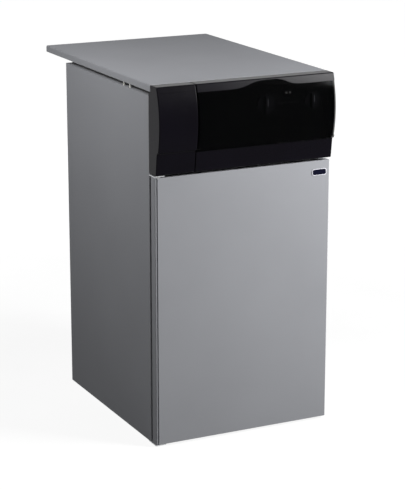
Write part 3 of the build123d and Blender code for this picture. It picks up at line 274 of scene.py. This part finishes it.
def badge_enamel():
    """A dark blue field inside a pale rim, with nothing written on it."""
    made = Surface("badge_enamel", Specular_IOR_Level=0.06)
    field = made.maths("GREATER_THAN", made.axes()["Y"], own_box("door_badge")[0].y + BADGE_RECESS / 2)
    cloud = made.noise(300.0)
    rim = made.ramp(cloud, (0.3, (0.7, 0.7, 0.76)), (0.7, (0.78, 0.78, 0.84)))
    blue = made.ramp(cloud, (0.3, (0.0016, 0.002, 0.009)), (0.7, (0.0026, 0.0032, 0.014)))
    made.colour(made.mix(field, rim, blue))
    made.roughness(cloud, 0.25, 0.35)
    made.bump((cloud, 0.000005))
    return made


def circuit_board():
    """Green solder mask with a maze of tracks under it."""
    made = Surface("circuit_board", Coat_Weight=0.3)
    tracks = made.cells(160.0, output="Distance")
    made.colour(made.ramp(tracks, (0.2, (0.02, 0.14, 0.05)), (0.5, (0.035, 0.22, 0.09))))
    made.roughness(tracks, 0.3, 0.45)
    made.bump((tracks, 0.00003))
    return made


def mineral_wool():
    """Yellowish wool with matted fibres."""
    made = Surface("mineral_wool", Sheen_Weight=0.3, Roughness=0.95)
    fibres = made.noise(260.0, detail=6.0, roughness=0.75, vector=made.stretched((1.0, 1.0, 3.0)))
    tufts = made.noise(38.0, detail=4.0)
    matted = made.ramp(fibres, (0.3, (0.42, 0.36, 0.2)), (0.7, (0.72, 0.66, 0.44)))
    made.colour(made.mix(made.span(tufts, 0.0, 0.5), matted, (0.5, 0.44, 0.27)))
    made.bump((tufts, 0.0012), (fibres, 0.0006))
    return made


def clear_glass():
    """Heat-resisting glass with a faint greenish dusting."""
    made = Surface("sight_glass", IOR=1.47, Alpha=0.35)
    dust = made.noise(420.0, detail=4.0)
    made.colour(made.ramp(dust, (0.3, (0.6, 0.66, 0.62)), (0.7, (0.8, 0.85, 0.82))))
    made.roughness(dust, 0.05, 0.2)
    return made


def smoked_plastic():
    """The flap: polished, nearly black and only just see-through."""
    made = Surface("smoked_plastic", IOR=1.46, Alpha=0.6, Specular_IOR_Level=0.02)
    cloud = made.noise(9.0, detail=2.0)
    made.colour(made.ramp(cloud, (0.3, (0.0005, 0.0006, 0.0006)), (0.7, (0.0009, 0.0009, 0.0011))))
    made.roughness(made.noise(60.0, detail=3.0), 0.05, 0.1)
    made.bump((made.noise(240.0, detail=1.0), 0.000003))
    return made


def black_plastic():
    """The panel: semi-gloss black with a blue-violet tone."""
    made = Surface("black_plastic", Specular_IOR_Level=0.05)
    flow = made.noise(7.0, detail=3.0)
    made.colour(made.ramp(flow, (0.3, (0.0012, 0.0008, 0.0022)), (0.7, (0.002, 0.0014, 0.0038))))
    made.roughness(made.noise(45.0, detail=3.0), 0.23, 0.29)
    made.bump((made.noise(2400.0, detail=2.0), 0.000003))
    return made


materials = {
    "casing_paint": casing_paint(),
    "black_metal": gap_shade_black_paint(),
    "zinc_steel": galvanised("zinc_steel", (0.56, 0.57, 0.585)),
    "aluminised_steel": brushed(
        "aluminised_steel", (0.5, 0.51, 0.52), rough=(0.34, 0.5), direction=(20.0, 1.0, 1.0)
    ),
    "plain_steel": brushed("plain_steel", (0.3, 0.3, 0.305)),
    "stainless": brushed("stainless", (0.58, 0.56, 0.53), rough=(0.2, 0.34), direction=(1.0, 40.0, 1.0)),
    "screw_steel": brushed("screw_steel", (0.62, 0.62, 0.6), rough=(0.2, 0.32)),
    "cast_iron": cast("cast_iron", (0.085, 0.082, 0.08), 0.35, (0.55, 0.8), 0.0003),
    "cast_aluminium": cast("cast_aluminium", (0.6, 0.61, 0.62), 0.85, (0.4, 0.55), 0.00006, scale=900.0),
    "brass": brushed("brass", (0.68, 0.5, 0.2), rough=(0.24, 0.38), direction=(50.0, 1.0, 1.0)),
    "black_plastic": black_plastic(),
    "fascia_plastic": moulded(
        "fascia_plastic", (0.006, 0.006, 0.007), (0.4, 0.5), Specular_IOR_Level=0.08
    ),
    "knob_plastic": knob_plastic(),
    "smoked_plastic": smoked_plastic(),
    "lens_plastic": lens_plastic(),
    "badge_enamel": badge_enamel(),
    "switch_plastic": moulded("switch_plastic", (0.055, 0.055, 0.06), (0.42, 0.55)),
    "foot_plastic": moulded("foot_plastic", (0.03, 0.03, 0.032), (0.5, 0.62), grain=1400.0, depth=0.00003),
    "nylon": moulded("nylon", (0.66, 0.66, 0.62), (0.4, 0.5)),
    "lever_plastic": moulded("lever_plastic", (0.45, 0.03, 0.025), (0.3, 0.4)),
    "magnet": cast("magnet", (0.05, 0.05, 0.052), 0.2, (0.5, 0.65), 0.00005, scale=1200.0),
    "circuit_board": circuit_board(),
    "electrode_ceramic": moulded("electrode_ceramic", (0.78, 0.76, 0.7), (0.18, 0.28)),
    "mineral_wool": mineral_wool(),
    "sight_glass": clear_glass(),
}

for name, node in nodes.items():
    node.data.materials.clear()
    node.data.materials.append(materials[slot_of[name]].material)


# Camera, fitted to the photograph's corners
CAMERA_PLACE = Vector((-1.8681, -3.8867, 1.5616))
CAMERA_YAW = 0.4579
CAMERA_DIP = 0.2662
SENSOR = 36.0
IMAGE_HEIGHT = 490
FOCAL_PIXELS = 1809.6

camera_data = bpy.data.cameras.new("camera")
camera_data.sensor_width = SENSOR
camera_data.lens = FOCAL_PIXELS * SENSOR / IMAGE_HEIGHT
camera = bpy.data.objects.new("camera", camera_data)
bpy.context.scene.collection.objects.link(camera)
aim = Matrix.Rotation(-CAMERA_YAW, 4, "Z") @ Matrix.Rotation(math.pi / 2 - CAMERA_DIP, 4, "X")
camera.matrix_world = Matrix.Translation(CAMERA_PLACE) @ aim
bpy.context.scene.camera = camera


# Studio
FLOOR_SIZE = 60.0
FLOOR_GLOW = 0.89
FLOOR_NEAR = 0.6
FLOOR_FAR = 2.2
SOFT_LEVEL = 0.03


def floor(material):
    """A plane under the object that is stage and no piece of it."""
    mesh = bpy.data.meshes.new("floor")
    half = FLOOR_SIZE / 2
    corners = ((-half, -half, 0.0), (half, -half, 0.0), (half, half, 0.0), (-half, half, 0.0))
    mesh.from_pydata(corners, [], [(0, 1, 2, 3)])
    mesh.materials.append(material)
    made = bpy.data.objects.new("floor", mesh)
    bpy.context.scene.collection.objects.link(made)


def seen_rays(tree):
    """A socket that is 1 for rays that show a background: from the camera, gloss or glass."""
    path = tree.nodes.new("ShaderNodeLightPath")
    seen = path.outputs["Is Camera Ray"]
    for kind in ("Is Glossy Ray", "Is Transmission Ray"):
        either = tree.nodes.new("ShaderNodeMath")
        either.operation = "MAXIMUM"
        tree.links.new(seen, either.inputs[0])
        tree.links.new(path.outputs[kind], either.inputs[1])
        seen = either.outputs["Value"]
    return seen


def floor_material():
    """A pale floor with the object's shadow, which fades to the white of the background."""
    made = Surface("floor", Roughness=0.9, Specular_IOR_Level=0.0)
    made.colour(made.ramp(made.noise(3.0), (0.3, (0.11, 0.11, 0.11)), (0.7, (0.14, 0.14, 0.14))))
    reach = made.add("ShaderNodeVectorMath", operation="LENGTH")
    made.link(made.place, reach.inputs[0])
    glow = made.span(reach.outputs["Value"], FLOOR_GLOW, 1.0, FLOOR_NEAR, FLOOR_FAR)
    made.shader.inputs["Emission Color"].default_value = WHITE
    made.link(made.maths("MULTIPLY", glow, seen_rays(made.tree)), made.shader.inputs["Emission Strength"])
    return made.material


def area_light(name, place, target, size, power):
    """A rectangular lamp in watts, turned towards a point."""
    data = bpy.data.lights.new(name, "AREA")
    data.shape = "RECTANGLE"
    data.size, data.size_y = size
    data.energy = power
    light = bpy.data.objects.new(name, data)
    light.location = place
    light.rotation_euler = (Vector(target) - Vector(place)).to_track_quat("-Z", "Y").to_euler()
    bpy.context.scene.collection.objects.link(light)


def world(soft):
    """Plain grey surroundings, white for the camera, in gloss and through glass."""
    made = bpy.data.worlds.new("studio")
    made.use_nodes = True
    bpy.context.scene.world = made
    tree = made.node_tree
    background = tree.nodes["Background"]
    background.inputs["Color"].default_value = WHITE
    level = tree.nodes.new("ShaderNodeMapRange")
    level.inputs["To Min"].default_value = soft
    level.inputs["To Max"].default_value = 1.0
    tree.links.new(seen_rays(tree), level.inputs["Value"])
    tree.links.new(level.outputs["Result"], background.inputs["Strength"])


bpy.context.scene.view_settings.view_transform = "Standard"
floor(floor_material())
world(SOFT_LEVEL)
upper_front = (0.1, -0.3, 0.72)
area_light("key", (1.22, -1.5, 1.47), upper_front, (0.6, 0.6), 68.0)
area_light("strip", (2.0, -1.5, 1.1), (0.0, -0.3, 0.7), (0.1, 1.0), 9.0)
area_light("left", (-1.05, -0.1, 1.5), (-0.225, 0.0, 0.75), (0.5, 0.9), 12.5)
area_light("fill", (-1.5, -2.0, 0.5), (-0.225, -0.3, 0.6), (0.2, 0.5), 1.5)
area_light("rear", (0.5, 3.0, 0.42), (0.1, 0.25, 0.45), (2.2, 0.7), 11.0)
